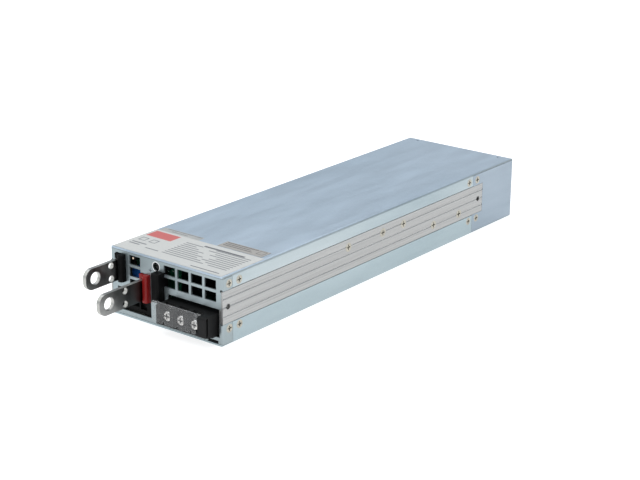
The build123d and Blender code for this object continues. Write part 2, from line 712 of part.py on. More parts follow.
def make_terminal_block():
    """Moulded barrier strip: body through the panel, shelf, barriers and a wide end wall."""
    with BuildPart() as block:
        box(BLOCK_LEFT, BLOCK_RIGHT, -FACE_PROUD, BOARD_FRONT - 0.2, BLOCK_LOW, BLOCK_HIGH)
        box(BLOCK_LEFT, BLOCK_RIGHT, 0, BLOCK_INSIDE, BOARD_TOP, BLOCK_HIGH)
        box(DRAIN_LEFT - SHEET, BLOCK_RIGHT, SHEET + SEAM, BOARD_FRONT - SEAM, SHEET + SEAM, BLOCK_LOW)
        box(BLOCK_LEFT, BLOCK_RIGHT, -SHELF_PROUD, -FACE_PROUD, SHELF_LOW, SHELF_HIGH)
        walls = [(BLOCK_LEFT + pole * POLE_PITCH, BARRIER) for pole in range(POLES)]
        walls.append((BLOCK_LEFT + POLES * POLE_PITCH, END_WALL))
        for left, thick in walls:
            with BuildSketch(Plane.YZ.offset(left)) as outline:
                barrier_outline()
                corner = (depth(-BARRIER_PROUD), BLOCK_HIGH)
                fillet(outline.vertices().sort_by_distance(corner)[0], 1.6)
                foot = (depth(-BARRIER_PROUD), BARRIER_LOW)
                fillet(outline.vertices().sort_by_distance(foot)[0], 0.8)
            extrude(amount=thick)
        groove_near = -BARRIER_PROUD + GROOVE_BACK
        groove_far = groove_near + BLOCK_GROOVE
        box(BLOCK_RIGHT - GROOVE_IN, BLOCK_RIGHT, groove_near, groove_far, 0, BLOCK_HIGH - 1.0, Mode.SUBTRACT)
        for pole in range(POLES):
            with Locations(across(depth(-FACE_PROUD))):
                with Locations((pole_x(pole), TERMINAL_SCREW_Z)):
                    Cylinder(
                        (TERMINAL_SHANK + HOLE_CLEARANCE) / 2,
                        2 * 8.5,
                        mode=Mode.SUBTRACT,
                    )
        pin = HINGE_PIN + HINGE_CLEARANCE
        with Locations(Plane.YZ.offset(BLOCK_LEFT)):
            with Locations((depth(-HINGE_PROUD), HINGE_Z)):
                Cylinder(pin, 2 * 1.6, mode=Mode.SUBTRACT)
        with Locations(Plane.YZ.offset(BLOCK_RIGHT - END_WALL)):
            with Locations((depth(-HINGE_PROUD), HINGE_Z)):
                Cylinder(pin, 2 * 1.9, mode=Mode.SUBTRACT)
    return block.part


def make_contacts():
    """Metal strip on the back of each pocket."""
    wide = POCKET - 2 * POCKET_GAP
    with BuildPart() as contacts:
        for pole in range(POLES):
            x = pole_x(pole)
            box(x - wide / 2, x + wide / 2, -FACE_PROUD - CONTACT, -FACE_PROUD, SHELF_HIGH, BLOCK_HIGH - 1.4)
        with Locations(across(depth(-FACE_PROUD))):
            with Locations(*[(pole_x(pole), TERMINAL_SCREW_Z) for pole in range(POLES)]):
                Cylinder((TERMINAL_SHANK + HOLE_CLEARANCE) / 2, 4, mode=Mode.SUBTRACT)
    return contacts.part


def make_clamps():
    """Square clamping washer under each terminal screw."""
    near = -FACE_PROUD - CONTACT - CLAMP
    half = POCKET / 2 - POCKET_GAP - 0.1
    with BuildPart() as clamps:
        for pole in range(POLES):
            x = pole_x(pole)
            top = TERMINAL_SCREW_Z + half * 0.75
            box(x - half, x + half, near, near + CLAMP, TERMINAL_SCREW_Z - half, top)
        with Locations(across(depth(near))):
            with Locations(*[(pole_x(pole), TERMINAL_SCREW_Z) for pole in range(POLES)]):
                Cylinder((TERMINAL_SHANK + HOLE_CLEARANCE) / 2, 4, mode=Mode.SUBTRACT)
    return clamps.part


def make_terminal_screws():
    """Pan-head cross-recessed screws through clamp and contact into the block."""
    seat = depth(-FACE_PROUD - CONTACT - CLAMP)
    with BuildPart() as screw:
        with BuildSketch(Plane.XY):
            Circle(TERMINAL_HEAD / 2)
        extrude(amount=TERMINAL_HEAD_TALL)
        fillet(screw.faces().sort_by(Axis.Z)[-1].edges(), 0.8)
        with Locations((0, 0, TERMINAL_HEAD_TALL)):
            Box(TERMINAL_HEAD * 0.6, 0.9, 2.4, mode=Mode.SUBTRACT)
            Box(0.9, TERMINAL_HEAD * 0.6, 2.4, mode=Mode.SUBTRACT)
        Cylinder(TERMINAL_SHANK / 2, 9.5, align=(Align.CENTER, Align.CENTER, Align.MAX))
    places = [Plane(origin=(pole_x(pole), seat, TERMINAL_SCREW_Z), z_dir=(0, -1, 0)) for pole in range(POLES)]
    return copies(screw.part, places)


def make_terminal_cover():
    """Clear front plate with a rolled top edge, hung on two pinned arms."""
    left = BLOCK_LEFT - ARM_GAP - 1.0
    wall = BLOCK_RIGHT - END_WALL
    right = wall - ARM_GAP
    inner = -BARRIER_PROUD - COVER_GAP
    outer = inner - COVER_WALL
    top = HINGE_Z + COVER_ARM + 0.4
    pivot = (depth(-HINGE_PROUD), HINGE_Z)
    with BuildPart() as cover:
        box(left, right, outer, inner, COVER_LOW, top)
        with BuildSketch(Plane.YZ.offset(left)):
            with Locations((depth((inner + outer) / 2), top)):
                Circle(COVER_BEAD)
        extrude(amount=right - left)
        for arm in (left, right - 1.0):
            with BuildSketch(Plane.YZ.offset(arm)):
                with Locations(pivot):
                    Circle(COVER_ARM)
                rect(depth(outer), pivot[0], HINGE_Z - COVER_ARM, HINGE_Z + COVER_ARM)
            extrude(amount=1.0)
        with BuildSketch(Plane.YZ.offset(left)):
            with Locations(pivot):
                Circle(HINGE_PIN)
        extrude(amount=1.0 + ARM_GAP + 1.4)
        with BuildSketch(Plane.YZ.offset(right - 1.0)):
            with Locations(pivot):
                Circle(HINGE_PIN)
        extrude(amount=1.0 + ARM_GAP + 1.6)
        with BuildSketch(across(depth(inner))):
            with Locations(*[(pole_x(pole), COVER_LOW) for pole in range(POLES)]):
                SlotOverall(3.2, 1.6, rotation=90)
        extrude(amount=COVER_WALL, mode=Mode.SUBTRACT)
    return cover.part


def make_upright_board():
    """Small upright board behind the left of the panel, with a foot down to the main board."""
    with BuildPart() as board:
        box(UPRIGHT_LEFT, UPRIGHT_RIGHT, UPRIGHT_DEPTH, UPRIGHT_DEPTH + BOARD, UPRIGHT_LOW, UPRIGHT_HIGH)
        box(WIDE * -14.0, WIDE * -4.0, UPRIGHT_DEPTH, UPRIGHT_DEPTH + BOARD, BOARD_TOP, UPRIGHT_LOW)
    return board.part


def make_trimmer_body():
    with BuildPart() as body:
        low, high = TRIMMER_Z - TRIMMER_HALF, TRIMMER_Z + TRIMMER_HALF
        box(TRIMMER_X - TRIMMER_HALF, TRIMMER_X + TRIMMER_HALF, TRIMMER_FACE, UPRIGHT_DEPTH, low, high)
        with Locations(across(depth(TRIMMER_FACE))):
            with Locations((TRIMMER_X, TRIMMER_Z)):
                deep = ROTOR_PIN_LONG + SHAFT_CLEARANCE
                Cylinder(ROTOR_PIN / 2 + SHAFT_CLEARANCE, 2 * deep, mode=Mode.SUBTRACT)
    return body.part


def make_trimmer_rotor():
    """Slotted screw head of the voltage trimmer on its own short pin."""
    with BuildPart() as rotor:
        back = TRIMMER_FACE - FIT
        with BuildSketch(across(depth(back))):
            with Locations((TRIMMER_X, TRIMMER_Z)):
                Circle(ROTOR / 2)
        extrude(amount=ROTOR_TALL)
        with BuildSketch(across(depth(back))):
            with Locations((TRIMMER_X, TRIMMER_Z)):
                Circle(ROTOR_PIN / 2)
        extrude(amount=-ROTOR_PIN_LONG - FIT)
        low, high = TRIMMER_Z - ROTOR_SLOT / 2, TRIMMER_Z + ROTOR_SLOT / 2
        front = back - ROTOR_TALL
        box(TRIMMER_X - ROTOR, TRIMMER_X + ROTOR, front, front + ROTOR_SLOT, low, high, Mode.SUBTRACT)
    return rotor.part


def make_led():
    with BuildPart() as led:
        with BuildSketch(across(depth(UPRIGHT_DEPTH))):
            with Locations((VENT_LEFT_X - 8.6, VENT_LEFT_Z + VENT_PITCH_Z - 2.4)):
                Circle(1.5)
        extrude(amount=4.5)
        fillet(led.faces().sort_by(Axis.Y)[0].edges(), 1.2)
    return led.part


def make_discs():
    """Two disc capacitors on the upright board."""
    with BuildPart() as discs:
        for x, z in ((VENT_LEFT_X - 4.6, VENT_LEFT_Z - 3.0), (VENT_LEFT_X + 9.0, VENT_LEFT_Z + 2.4)):
            with BuildSketch(across(depth(9.6))):
                with Locations((x, z)):
                    Circle(4.2)
            extrude(amount=3.0)
            for lead in (-2.5, 2.5):
                box(x + lead - 0.3, x + lead + 0.3, 9.6, UPRIGHT_DEPTH, z - 0.3, z + 0.3)
    return discs.part


def header_body():
    """Limits of the header between the legs: X, depth and Z."""
    right = bushing_box(POSITIVE_X, POSITIVE_Z)[0] - 2 * HEADER_GAP - HEADER_WALL
    left = NEGATIVE_X + HEADER_GAP
    return left, right, HEADER_FACE, UPRIGHT_DEPTH - 1.0, BOARD_TOP, BOARD_TOP + HEADER_TALL


def make_signal_connector():
    """Open-fronted header that fills the lower left window, clear of both busbars' legs."""
    left, right, near, far, low, high = header_body()
    lip_far = BAR_INSIDE - BAR_LEG - HEADER_GAP
    under_bar = bushing_box(POSITIVE_X, POSITIVE_Z)[2] - FLANGE_EDGE - HEADER_GAP
    with BuildPart() as header:
        box(left, right, near, far, low, high)
        box(HEADER_LEFT, right, near, lip_far, low, high)
        box(HEADER_LEFT, divider_foot_left() - HEADER_GAP, near, BOARD_FRONT - SEAM, HEADER_LOW, low)
        foot = divider_foot_left() + POSITIVE_FOOT
        box(left, foot, SHEET + FOOT_THICK + HEADER_GAP, lip_far, low, under_bar)
        wall = HEADER_WALL
        box(left + wall, right - wall, near, HEADER_POCKET, low + wall, high - wall, Mode.SUBTRACT)
    return header.part


def make_signal_pins():
    """Square pins of the header, in two rows."""
    left, right, near, _, low, high = header_body()
    half = SIGNAL_PIN / 2
    per_row = SIGNAL_PINS // 2
    with BuildPart() as pins:
        for row in (-0.5, 0.5):
            z = (low + high) / 2 + row * SIGNAL_ROW_PITCH
            for column in range(per_row):
                x = (left + right) / 2 + (column - (per_row - 1) / 2) * SIGNAL_PIN_PITCH
                box(x - half, x + half, near + PIN_BACK, HEADER_POCKET, z - half, z + half)
    return pins.part


def make_fan_frame():
    """Square fan frame round its bore, with struts and a motor plate at the inner end, axis on Z."""
    with BuildPart() as frame:
        with BuildSketch():
            RectangleRounded(FAN_SIZE, FAN_SIZE, FAN_CORNER)
            Circle(FAN_BORE / 2, mode=Mode.SUBTRACT)
            with GridLocations(FAN_SCREW_PITCH, FAN_SCREW_PITCH, 2, 2):
                Circle((FAN_SCREW_SHANK + HOLE_CLEARANCE) / 2, mode=Mode.SUBTRACT)
        extrude(amount=-FAN_DEPTH)
        outside = frame.faces().sort_by(Axis.Z)[-1].outer_wire().edges()
        chamfer(outside, FAN_EDGE)
        with BuildSketch(Plane.XY.offset(-FAN_DEPTH)):
            Circle(HUB_DIAMETER / 2)
            with PolarLocations(0, 4, 45):
                with Locations((FAN_BORE / 4 + 0.5, 0)):
                    Rectangle(FAN_BORE / 2, 2.4)
            Circle(SHAFT / 2 + SHAFT_CLEARANCE, mode=Mode.SUBTRACT)
        extrude(amount=MOTOR_PLATE)
    return frame.part


def blade_plane(radius, pitch):
    """Plane square to the radius, its x along the blade's chord."""
    chord = (0, cos(radians(pitch)), sin(radians(pitch)))
    return Plane(origin=(radius, 0, -FAN_DEPTH / 2), x_dir=chord, z_dir=(1, 0, 0))


def make_fan_rotor():
    """Hub with cambered, twisted blades and a shaft, axis on Z."""
    hub_radius = HUB_DIAMETER / 2
    tip_radius = FAN_BORE / 2 - TIP_GAP
    with BuildPart() as blade:
        root, tip = hub_radius - 0.8, FAN_BORE / 2
        for radius, chord, pitch in ((root, ROOT_CHORD, ROOT_PITCH), (tip, TIP_CHORD, TIP_PITCH)):
            with BuildSketch(blade_plane(radius, pitch)):
                with BuildLine():
                    ThreePointArc((-chord / 2, 0), (0, BLADE_CAMBER + BLADE_THICK), (chord / 2, 0))
                    ThreePointArc((chord / 2, 0), (0, BLADE_CAMBER), (-chord / 2, 0))
                make_face()
        loft()
    with BuildPart() as rotor:
        with BuildSketch(Plane.XY.offset(-FAN_DEPTH + MOTOR_PLATE + 0.4)):
            Circle(hub_radius)
        extrude(amount=FAN_DEPTH - MOTOR_PLATE - 2.4)
        fillet(rotor.faces().sort_by(Axis.Z)[-1].edges(), 1.2)
        with PolarLocations(0, BLADES):
            add(blade.part)
        with BuildSketch(Plane.XY.offset(-FAN_DEPTH)):
            Circle(tip_radius)
        extrude(amount=FAN_DEPTH, mode=Mode.INTERSECT)
        with BuildSketch(Plane.XY.offset(-FAN_DEPTH)):
            Circle(SHAFT / 2)
        extrude(amount=MOTOR_PLATE + 1.0)
    return rotor.part


def inner_box(left, right, near, far, low, high, mode=Mode.ADD):
    """Box on the main board whose limits keep their share of the case; heights are above the board."""
    low, high = BOARD_TOP + TALL * low, BOARD_TOP + TALL * high
    box(WIDE * left, WIDE * right, LONG * near, LONG * far, low, high, mode)


def make_fuse():
    """Glass fuse in two clips on the board."""
    with BuildPart() as fuse:
        with BuildSketch(Plane.YZ.offset(FUSE_LEFT)):
            with Locations((depth(LONG * FUSE_BACK), BOARD_TOP + FUSE_LIFT)):
                Circle(FUSE / 2)
        extrude(amount=FUSE_LONG)
        for x in (FUSE_LEFT + 1.0, FUSE_LEFT + FUSE_LONG - 5.0):
            near = LONG * FUSE_BACK - 1.4
            box(x, x + 4.0, near, near + 2.8, BOARD_TOP, BOARD_TOP + FUSE_LIFT - 1.6)
    return fuse.part


def make_choke_cores(places, outer, inner, tall):
    """Ring cores lying flat, lifted off the board by the wire under them."""
    with BuildPart() as cores:
        with BuildSketch(Plane.XY.offset(BOARD_TOP + WIRE)):
            with Locations(*[(WIDE * x, depth(LONG * back)) for x, back in places]):
                Circle(outer)
                Circle(inner, mode=Mode.SUBTRACT)
        extrude(amount=tall)
    return cores.part


def make_choke_windings(places, outer, inner, tall):
    """Two wound sections on each ring, left and right, closed round the core."""
    cores = make_choke_cores(places, outer, inner, tall)
    with BuildPart() as windings:
        with BuildSketch(Plane.XY.offset(BOARD_TOP)):
            with Locations(*[(WIDE * x, depth(LONG * back)) for x, back in places]):
                Circle(outer + WIRE)
                Circle(inner - WIRE, mode=Mode.SUBTRACT)
                Rectangle(WINDING_GAP * outer, 3 * outer, mode=Mode.SUBTRACT)
        extrude(amount=tall + 2 * WIRE)
        chamfer(windings.edges().filter_by(GeomType.CIRCLE), WIRE / 2)
        add(cores, mode=Mode.SUBTRACT)
    return windings.part


def make_boxes(boxes, bevel):
    """Group of moulded boxes on the board: middle x, depth, wide, long and tall."""
    with BuildPart() as group:
        for x, back, wide, long, tall in boxes:
            inner_box(x - wide / 2, x + wide / 2, back - long / 2, back + long / 2, 0, tall)
        chamfer(group.faces().filter_by(Axis.Z).sort_by(Axis.Z)[len(boxes):].edges(), bevel)
    return group.part


def make_cans(places, diameter, tall):
    """Upright capacitor cans with rolled rims."""
    with BuildPart() as cans:
        for x, back in places:
            with Locations((WIDE * x, depth(LONG * back), BOARD_TOP)):
                Cylinder(diameter / 2, tall, align=(Align.CENTER, Align.CENTER, Align.MIN))
        chamfer(cans.faces().sort_by(Axis.Z)[-len(places):].edges(), diameter * CAN_BEVEL)
    return cans.part


def make_packages():
    """Power transistors standing flat against the right heatsink."""
    middle = SINK_INNER - PACKAGE / 2
    low, high = BOARD_TOP + LEAD_LIFT, BOARD_TOP + LEAD_LIFT + PACKAGE_TALL
    with BuildPart() as packages:
        for back, _ in CLAMP_SCREWS:
            near, far = back - PACKAGE_WIDE / 2, back + PACKAGE_WIDE / 2
            box(SINK_INNER - PACKAGE, SINK_INNER, near, far, low, high + CLAMP_ROW_HIGH - GROOVE_MIDDLE)
            for lead in (-LEAD_PITCH, 0, LEAD_PITCH):
                at = back + lead
                box(middle - 0.4, middle + 0.4, at - 0.5, at + 0.5, BOARD_TOP, low)
        with Locations(*clamp_screw_places(1)):
            Hole((CASE_SHANK + 2 * HOLE_CLEARANCE) / 2, 20)
    return packages.part


def make_clamp_bars():
    """Short steel bars that the side screws pull against the transistors."""
    x = SINK_INNER - PACKAGE
    with BuildPart() as bars:
        for back, z in CLAMP_SCREWS:
            near, low = back - CLAMP_BAR_LONG / 2, z - CLAMP_BAR_TALL / 2
            box(x - CLAMP_BAR, x, near, near + CLAMP_BAR_LONG, low, low + CLAMP_BAR_TALL)
        with Locations(*clamp_screw_places(1)):
            Hole((CASE_SHANK + HOLE_CLEARANCE) / 2, 20)
    return bars.part


def make_transformer_core():
    """Three-legged ferrite core round the winding."""
    with BuildPart() as core:
        inner_box(-27.0, -7.0, 132.0, 172.0, 3.0, 29.0)
        inner_box(-27.0, -7.0, 139.0, 147.0, 8.0, 24.0, Mode.SUBTRACT)
        inner_box(-27.0, -7.0, 157.0, 165.0, 8.0, 24.0, Mode.SUBTRACT)
    return core.part


def make_transformer_winding():
    """Taped coil on its bobbin, standing on the board through its base plate."""
    with BuildPart() as winding:
        inner_box(-28.5, -5.5, 138.0, 166.0, 0, 3.0)
        inner_box(-30.4, -3.6, 139.4, 164.6, 8.2, 23.8)
        inner_box(-27.2, -6.8, 146.8, 157.2, 8.2, 23.8, Mode.SUBTRACT)
        for x in (-28.8, -5.2):
            inner_box(x - 1.6, x + 1.6, 140.0, 164.0, 0, 12.0)
    return winding.part


def make_label(left, right, near, far):
    """Film on the top of the case."""
    with BuildPart() as label:
        box(left, right, near, far, HEIGHT, HEIGHT + LABEL_THICK)
    return label.part


def main():
    os.makedirs("parts", exist_ok=True)

    save(make_bottom(), "bottom_chassis")
    save(make_top(), "top_cover")
    save(make_front_panel(), "front_panel")
    save(make_rear_shell(), "rear_shell")
    heatsink = make_heatsink()
    save(heatsink, "heatsink_right")
    save(mirrored(heatsink), "heatsink_left")
    case_screw = make_flat_screw(CASE_HEAD, CASE_SHANK, CASE_SCREW_LENGTH)
    save(copies(case_screw, case_screw_places()), "case_screws")
    clamp_length = SHEET + SINK_WALL + PACKAGE + CLAMP_BAR
    clamp_screw = make_flat_screw(CLAMP_HEAD, CASE_SHANK, clamp_length)
    save(copies(clamp_screw, clamp_screw_places(-1) + clamp_screw_places(1)), "heatsink_screws")

    save(make_insulation(), "insulation_sheet")
    save(make_standoffs(), "board_standoffs")
    save(make_board_screws(), "board_screws")
    save(make_main_board(), "main_board")

    save(make_busbar(NEGATIVE_X, NEGATIVE_Z, NEGATIVE_REACH), "busbar_negative")
    save(make_busbar(POSITIVE_X, POSITIVE_Z, POSITIVE_REACH), "busbar_positive")
    save(make_bushing(NEGATIVE_X, NEGATIVE_Z), "bushing_negative")
    save(make_bushing(POSITIVE_X, POSITIVE_Z), "bushing_positive")
    save(make_divider(), "divider_wall")

    save(make_terminal_block(), "terminal_block")
    save(make_contacts(), "terminal_contacts")
    save(make_clamps(), "terminal_clamps")
    save(make_terminal_screws(), "terminal_screws")
    save(make_terminal_cover(), "terminal_cover")

    save(make_upright_board(), "upright_board")
    save(make_trimmer_body(), "trimmer_body")
    save(make_trimmer_rotor(), "trimmer_rotor")
    save(make_led(), "status_led")
    save(make_discs(), "disc_capacitors")
    save(make_signal_connector(), "signal_connector")
    save(make_signal_pins(), "signal_pins")

    frame = make_fan_frame()
    rotor = make_fan_rotor()
    for name, place in zip(("left", "right"), fan_places(FAN_REAR)):
        save(copies(frame, [place]), f"fan_frame_{name}")
        save(copies(rotor, [place]), f"fan_rotor_{name}")
    fan_screw = make_flat_screw(FAN_SCREW_HEAD, FAN_SCREW_SHANK, FAN_SCREW_LENGTH)
    with BuildPart() as fan_screws:
        with Locations(*fan_places(REAR)):
            with GridLocations(FAN_SCREW_PITCH, FAN_SCREW_PITCH, 2, 2):
                add(fan_screw)
    save(fan_screws.part, "fan_screws")

    save(make_fuse(), "fuse")
    save(make_choke_cores(LINE_CHOKES, *LINE_CORE), "line_choke_cores")
    save(make_choke_windings(LINE_CHOKES, *LINE_CORE), "line_choke_windings")
    save(make_boxes(FILM_CAPACITORS, CASE_BEVEL), "film_capacitors")
    save(make_boxes(RECTIFIER, CASE_BEVEL), "bridge_rectifier")
    save(make_choke_cores(BOOST_CHOKE, *BOOST_CORE), "boost_choke_core")
    save(make_choke_windings(BOOST_CHOKE, *BOOST_CORE), "boost_choke_winding")
    save(make_cans(BULK_CANS, CAN_DIAMETER, CAN_TALL), "bulk_capacitors")
    save(make_cans(OUTPUT_CANS, OUTPUT_CAN, OUTPUT_CAN_TALL), "output_capacitors")
    save(make_boxes(OUTPUT_CHOKES, COIL_BEVEL), "output_chokes")
    save(make_boxes(RESONANT_CHOKE, COIL_BEVEL), "resonant_choke")
    save(make_boxes(RELAY, CASE_BEVEL), "inrush_relay")
    save(make_transformer_core(), "transformer_core")
    save(make_transformer_winding(), "transformer_winding")
    packages = make_packages()
    save(packages, "transistors_right")
    save(mirrored(packages), "transistors_left")
    bars = make_clamp_bars()
    save(bars, "clamp_bars_right")
    save(mirrored(bars), "clamp_bars_left")

    label = make_label(LABEL_EDGE - SIDE, SIDE - LABEL_EDGE, LABEL_FRONT, LABEL_FAR)
    save(label, "top_label")
    near = LABEL_FAR + SMALL_LABEL_GAP
    small = make_label(SMALL_LABEL_LEFT, SMALL_LABEL_RIGHT, near, near + SMALL_LABEL_LONG)
    save(small, "small_label")


main()
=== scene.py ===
import bpy
from math import cos, radians, sin
from mathutils import Matrix, Vector


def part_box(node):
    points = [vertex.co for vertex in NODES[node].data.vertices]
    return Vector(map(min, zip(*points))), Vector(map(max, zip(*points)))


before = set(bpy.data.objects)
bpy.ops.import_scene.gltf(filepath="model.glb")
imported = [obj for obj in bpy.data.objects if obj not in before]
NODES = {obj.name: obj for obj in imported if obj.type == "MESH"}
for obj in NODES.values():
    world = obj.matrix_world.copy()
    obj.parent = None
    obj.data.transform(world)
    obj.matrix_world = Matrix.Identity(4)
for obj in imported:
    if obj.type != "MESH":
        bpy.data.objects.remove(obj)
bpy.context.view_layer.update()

MM = 0.001

# Camera, solved from the photograph
AZIMUTH = 37.684
ELEVATION = 19.085
ROLL = 0.490
FOCAL_PIXELS = 1664.01
IMAGE_WIDTH = 640
SENSOR = 36.0
CAMERA_PLACE = (0.60206, -0.78805, 0.35621)
CLIP_START = 0.02

# Stage, in metres
FLOOR_HALF = 4.0
FLOOR_DROP = 0.0002

# Places and sizes on the object, in millimetres
FRONT = -150.0
PANEL_SKIN = (FRONT - 0.1, FRONT + 0.05)
FOLD = 42.0
TRIMMER = (-6.9, 36.0)
TRIMMER_RING = (2.5, 3.0)
LED_CHIP = (0.3, 0.8)
BETWEEN_DISCS = -20.0
CAN_TOPS = 37.4
BETWEEN_BARS = -27.0
# Between these two depths the right-hand bar goes from no painted shade at its tip to the most towards the
# panel
PAINTED_SHADE_NEAR = -177.0
PAINTED_SHADE_FAR = -162.0

# Zinc plating, from its darkest cloud to its lightest grain
ZINC_DARK = (0.36, 0.44, 0.51)
ZINC = (0.41, 0.485, 0.555)
ZINC_LIGHT = (0.47, 0.535, 0.60)

# Films and prints
FILM = (0.52, 0.52, 0.50)
PRINT = (0.17, 0.175, 0.185)
PANEL_PRINT = (0.05, 0.055, 0.06)
RING_PRINT = (0.80, 0.82, 0.82)
RED_FIELD = (0.52, 0.12, 0.11)

# Rows of print on the label: the lengths of each row's left and right bars
LABEL_ROWS = ((13.0, 26.0), (10.0, 29.0), (14.0, 22.0), (20.0, 24.0), (18.0, 17.0),
              (24.0, 20.0), (22.0, 23.0), (27.0, 18.0), (31.0, 14.0))
ROW_FIRST = 30.2
ROW_STEP = 2.6
ROW_TALL = 0.9
ROW_LEFT = -11.5
ROW_RIGHT = 37.0

# Openness, from a crevice or groove that counts as closed to a face that counts as open; it sets where shade
# is painted in crevices and a highlight in grooves
CREVICE = (0.35, 0.9)
GROOVE = (0.4, 0.9)
OPENNESS_SAMPLES = 8

# How much of the right-hand bar's colour the painted shade takes at most
PAINTED_SHADE_SHARE = 0.72

# A face that looks along an axis by less than this is an edge
EDGE_FACING = 0.5

# Noise: its roughness, and the values between which a surface's roughness swings
NOISE_ROUGHNESS = 0.55
NOISE_SWING = (0.3, 0.7)

# Circuit board: spacing and width of the tracks as noise values, and size of the pads
TRACK_SPACING = 0.09
TRACK_WIDTH = 0.016
PAD_SIZE = 0.16


def make_camera():
    az, el, roll = radians(AZIMUTH), radians(ELEVATION), radians(ROLL)
    back = Vector((sin(az) * cos(el), -cos(az) * cos(el), sin(el)))
    level = Vector((0, 0, 1)).cross(back).normalized()
    upright = back.cross(level)
    right = cos(roll) * level + sin(roll) * upright
    up = -sin(roll) * level + cos(roll) * upright
    data = bpy.data.cameras.new("camera")
    data.sensor_fit = "HORIZONTAL"
    data.sensor_width = SENSOR
    data.lens = FOCAL_PIXELS * SENSOR / IMAGE_WIDTH
    data.clip_start = CLIP_START
    camera = bpy.data.objects.new("camera", data)
    bpy.context.scene.collection.objects.link(camera)
    turn = Matrix((right, up, back)).transposed().to_4x4()
    camera.matrix_world = Matrix.Translation(CAMERA_PLACE) @ turn
    bpy.context.scene.camera = camera


class Look:
    """A material and short ways to add nodes to it."""

    def __init__(self, name, color=(0.5, 0.5, 0.5), metallic=0.0, rough=0.5, **sockets):
        self.mat = bpy.data.materials.new(name)
        self.mat.use_nodes = True
        self.tree = self.mat.node_tree
        self.shader = self.tree.nodes["Principled BSDF"]
        self.shader.inputs["Base Color"].default_value = (*color, 1)
        self.shader.inputs["Metallic"].default_value = metallic
        self.shader.inputs["Roughness"].default_value = rough
        for key, value in sockets.items():
            self.shader.inputs[key.replace("_", " ")].default_value = value
        self.place = self.node("ShaderNodeTexCoord").outputs["Object"]

    def node(self, kind, **settings):
        made = self.tree.nodes.new(kind)
        for key, value in settings.items():
            setattr(made, key, value)
        return made

    def link(self, source, target):
        self.tree.links.new(source, target)

    def stretched(self, stretch):
        """Object coordinates with each axis scaled."""
        mapping = self.node("ShaderNodeMapping")
        mapping.inputs["Scale"].default_value = stretch
        self.link(self.place, mapping.inputs["Vector"])
        return mapping.outputs["Vector"]

    def noise(self, scale, detail=3.0, stretch=(1, 1, 1)):
        made = self.node("ShaderNodeTexNoise")
        made.inputs["Scale"].default_value = scale
        made.inputs["Detail"].default_value = detail
        made.inputs["Roughness"].default_value = NOISE_ROUGHNESS
        self.link(self.stretched(stretch), made.inputs["Vector"])
        return made.outputs["Fac"]

    def cells(self, scale):
        """Distance to the nearest of many scattered points."""
        made = self.node("ShaderNodeTexVoronoi", feature="F1")
        made.inputs["Scale"].default_value = scale
        self.link(self.place, made.inputs["Vector"])
        return made.outputs["Distance"]

    def part(self, vector, name):
        """One component of a vector."""
        parts = self.node("ShaderNodeSeparateXYZ")
        self.link(vector, parts.inputs["Vector"])
        return parts.outputs[name]

    def axis(self, name):
        """One coordinate, in metres."""
        return self.part(self.place, name)

    def facing(self, name):
        """How squarely the surface faces along one axis, from 0 to 1."""
        return self.math("ABSOLUTE", self.part(self.node("ShaderNodeTexCoord").outputs["Normal"], name))

    def openness(self, reach, own=True):
        """Share of directions free of the piece itself, or of any piece, within a reach in millimetres."""
        made = self.node("ShaderNodeAmbientOcclusion", samples=OPENNESS_SAMPLES, only_local=own)
        made.inputs["Distance"].default_value = reach * MM
        return made.outputs["AO"]

    def math(self, operation, a, b=0.0):
        made = self.node("ShaderNodeMath", operation=operation)
        for index, value in enumerate((a, b)):
            if isinstance(value, (int, float)):
                made.inputs[index].default_value = value
            else:
                self.link(value, made.inputs[index])
        return made.outputs["Value"]

    def span(self, fac, low, high, new_low, new_high, smooth=False):
        """Map a value from one range to another, clamped."""
        made = self.node("ShaderNodeMapRange")
        made.interpolation_type = "SMOOTHSTEP" if smooth else "LINEAR"
        for key, value in (("From Min", low), ("From Max", high), ("To Min", new_low), ("To Max", new_high)):
            made.inputs[key].default_value = value
        self.link(fac, made.inputs["Value"])
        return made.outputs["Result"]

    def mix(self, fac, a, b):
        """Mix two colours; each is a socket or three numbers."""
        made = self.node("ShaderNodeMix", data_type="RGBA")
        self.link(fac, made.inputs["Factor"])
        for key, value in (("A", a), ("B", b)):
            socket = [s for s in made.inputs if s.name == key and s.type == "RGBA"][0]
            if isinstance(value, tuple):
                socket.default_value = (*value, 1)
            else:
                self.link(value, socket)
        return [s for s in made.outputs if s.type == "RGBA"][0]

    def blend(self, fac, a, b, spread=0.2):
        """Mix two colours by a noise that swings about one half."""
        return self.mix(self.span(fac, 0.5 - spread, 0.5 + spread, 0, 1), a, b)

    def color(self, socket):
        self.link(socket, self.shader.inputs["Base Color"])

    def rough(self, fac, low, high):
        self.link(self.span(fac, *NOISE_SWING, low, high), self.shader.inputs["Roughness"])

    def bump(self, height, distance, strength=1.0):
        """Raise the surface by a height between 0 and 1 times the distance in metres."""
        made = self.node("ShaderNodeBump")
        made.inputs["Strength"].default_value = strength
        made.inputs["Distance"].default_value = distance
        self.link(height, made.inputs["Height"])
        self.link(made.outputs["Normal"], self.shader.inputs["Normal"])

    def inside(self, name, low, high):
        """1 where a coordinate in millimetres lies between two limits."""
        value = self.axis(name)
        above = self.math("GREATER_THAN", value, low * MM)
        below = self.math("LESS_THAN", value, high * MM)
        return self.math("MULTIPLY", above, below)

    def field(self, x0, x1, y0, y1):
        """1 inside a rectangle of the top view, in millimetres."""
        return self.math("MULTIPLY", self.inside("X", x0, x1), self.inside("Y", y0, y1))

    def from_axis(self, x, z):
        """Distance in metres from a line along Y, given in millimetres."""
        across = self.math("SUBTRACT", self.axis("X"), x * MM)
        up = self.math("SUBTRACT", self.axis("Z"), z * MM)
        squares = self.math("ADD", self.math("MULTIPLY", across, across), self.math("MULTIPLY", up, up))
        return self.math("SQRT", squares)

    def give(self, *names):
        for name in names:
            slots = NODES[name].data.materials
            slots.clear()
            slots.append(self.mat)


def tinted(color, shade):
    return tuple(part * share for part, share in zip(color, shade))


